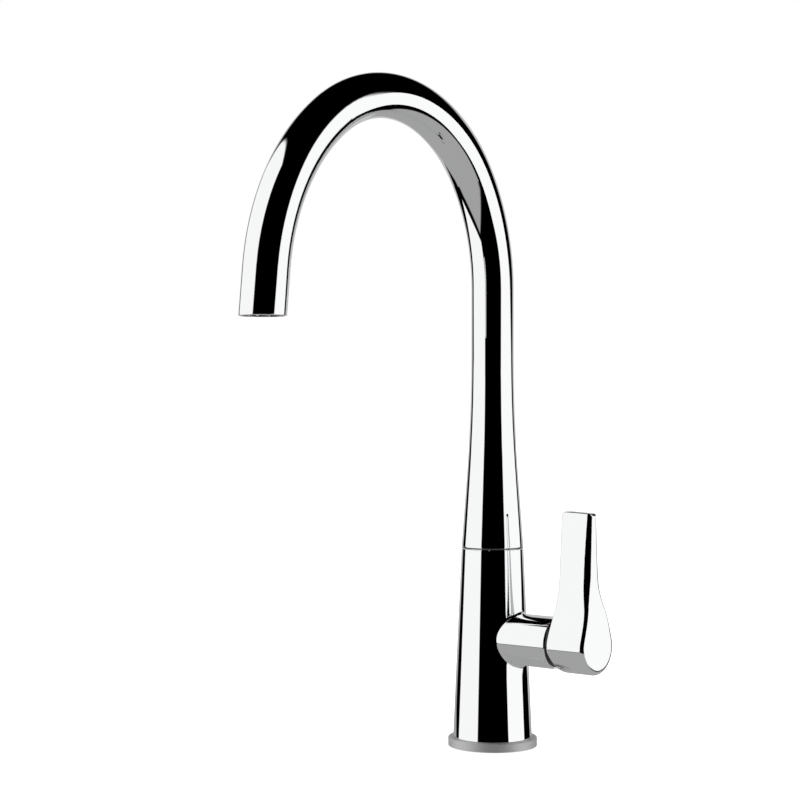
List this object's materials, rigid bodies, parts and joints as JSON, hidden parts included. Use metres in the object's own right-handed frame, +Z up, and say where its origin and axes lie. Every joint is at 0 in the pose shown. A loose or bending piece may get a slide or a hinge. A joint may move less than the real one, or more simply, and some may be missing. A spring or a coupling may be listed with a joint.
{
  "type": "three way filtered water tap",
  "caption": "Tall kitchen tap with a swivelling round gooseneck spout, tapered round body, side lever, and separate waterways for mixed and filtered water.",
  "frame": {"origin": "centre of the underside of the base, on the worktop", "axes": "+Z up along the body, -Y towards the outlet of the spout at rest (the user's side), +X along the valve branch towards the lever"},
  "size_m": [0.1021, 0.2337, 0.3863],
  "materials": {
    "chrome": "polished chrome plate",
    "satin_ring": "satin, turned",
    "dark_trim": "glossy black",
    "red_index": "glossy",
    "blue_index": "glossy",
    "brass": "machined",
    "copper": "drawn tube",
    "steel": "machined",
    "white_plastic": "moulded",
    "grey_plastic": "moulded",
    "dark_plastic": "moulded, dark grey",
    "filter_tube": "extruded tube",
    "ceramic": "lapped ceramic",
    "rubber": "matt"
  },
  "bodies": {
    "tap_body": {"body_shell": "chrome", "base_ring": "satin_ring", "deck_gasket": "rubber", "base_manifold": "brass", "hot_supply_tube": "copper", "cold_supply_tube": "copper", "filtered_supply_tube": "filter_tube", "supply_tube_seals": "rubber", "valve_block": "brass", "cartridge_base": "white_plastic", "cartridge_seals": "rubber", "fixed_ceramic_disc": "ceramic", "cartridge_housing": "white_plastic", "cartridge_nut": "brass", "trim_dome": "dark_trim", "hot_marker": "red_index", "cold_marker": "blue_index", "swivel_post": "brass", "post_o_rings": "rubber", "mixed_riser_tube": "copper", "filtered_riser_tube": "filter_tube", "filtered_tube_coupling": "grey_plastic", "thrust_washer": "white_plastic", "seam_slip_ring": "dark_plastic", "stop_pin": "steel"},
    "spout": {"spout_tube": "chrome", "spout_socket": "brass", "lower_bearing_ring": "white_plastic", "upper_bearing_ring": "white_plastic", "spout_lock_screw": "steel", "filtered_spout_tube": "filter_tube", "aerator_housing": "dark_trim", "aerator_lattice": "dark_trim", "aerator_washer": "rubber", "filtered_nozzle": "dark_trim"},
    "guide": {"stem_guide": "grey_plastic", "pivot_pin": "steel"},
    "lever": {"lever_handle": "chrome", "lever_stem": "steel", "lever_grub_screw": "steel"},
    "disc": {"moving_ceramic_disc": "ceramic", "disc_carrier": "grey_plastic"}
  },
  "joints": [
    {"name": "spout_swivel", "type": "hinge", "parent": "tap_body", "child": "spout", "pos_m": [0, 0, 0.1175], "axis": [0, 0, 1], "range_deg": [-70, 70]},
    {"name": "lever_turn", "type": "hinge", "parent": "tap_body", "child": "guide", "pos_m": [0.046, 0, 0.0643], "axis": [1, 0, 0], "range_deg": [-40, 70]},
    {"name": "lever_lift", "type": "hinge", "parent": "guide", "child": "lever", "pos_m": [0.046, 0, 0.0643], "axis": [0, 1, 0], "range_deg": [0, 20]},
    {"name": "disc_slide", "type": "slide", "parent": "guide", "child": "disc", "axis": [0, 0, 1], "range_m": [0, 0.00454]}
  ],
  "couplings": [
    {"joint": "disc_slide", "follows": "lever_lift", "m_per_rad": 0.013}
  ]
}
